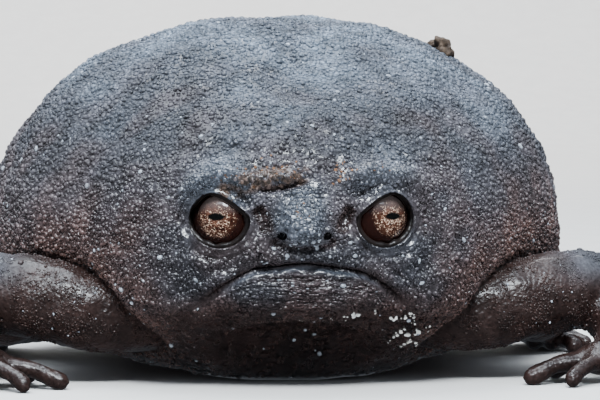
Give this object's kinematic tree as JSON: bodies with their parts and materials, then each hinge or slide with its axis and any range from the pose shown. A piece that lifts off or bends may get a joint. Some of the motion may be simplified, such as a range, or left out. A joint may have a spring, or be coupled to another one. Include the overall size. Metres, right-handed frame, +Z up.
{
  "type": "black rain frog figure",
  "caption": "Life-size black rain frog, puffed up and resting on her belly, with a blunt head, a downturned mouth and short legs spread to the sides.",
  "frame": {"origin": "middle of the belly's flat, on the floor that the frog rests on", "axes": "+X to her left side, +Y towards the rear so that she looks along -Y, +Z up"},
  "size_m": [0.0514, 0.0461, 0.0259],
  "materials": {
    "granular_skin": "damp charcoal skin with fine granules",
    "smooth_skin": "damp brown-black skin, smoother on the limbs",
    "eye": "wet, dark copper iris with a level pupil"
  },
  "bodies": {
    "root": {"torso": "granular_skin", "head": "granular_skin", "eye_left": "eye", "eye_right": "eye", "upper_arm_left": "smooth_skin", "upper_arm_right": "smooth_skin", "forearm_left": "smooth_skin", "forearm_right": "smooth_skin", "hand_left": "smooth_skin", "hand_right": "smooth_skin", "thigh_left": "smooth_skin", "thigh_right": "smooth_skin", "shank_left": "smooth_skin", "shank_right": "smooth_skin", "foot_left": "smooth_skin", "foot_right": "smooth_skin"}
  },
  "joints": []
}
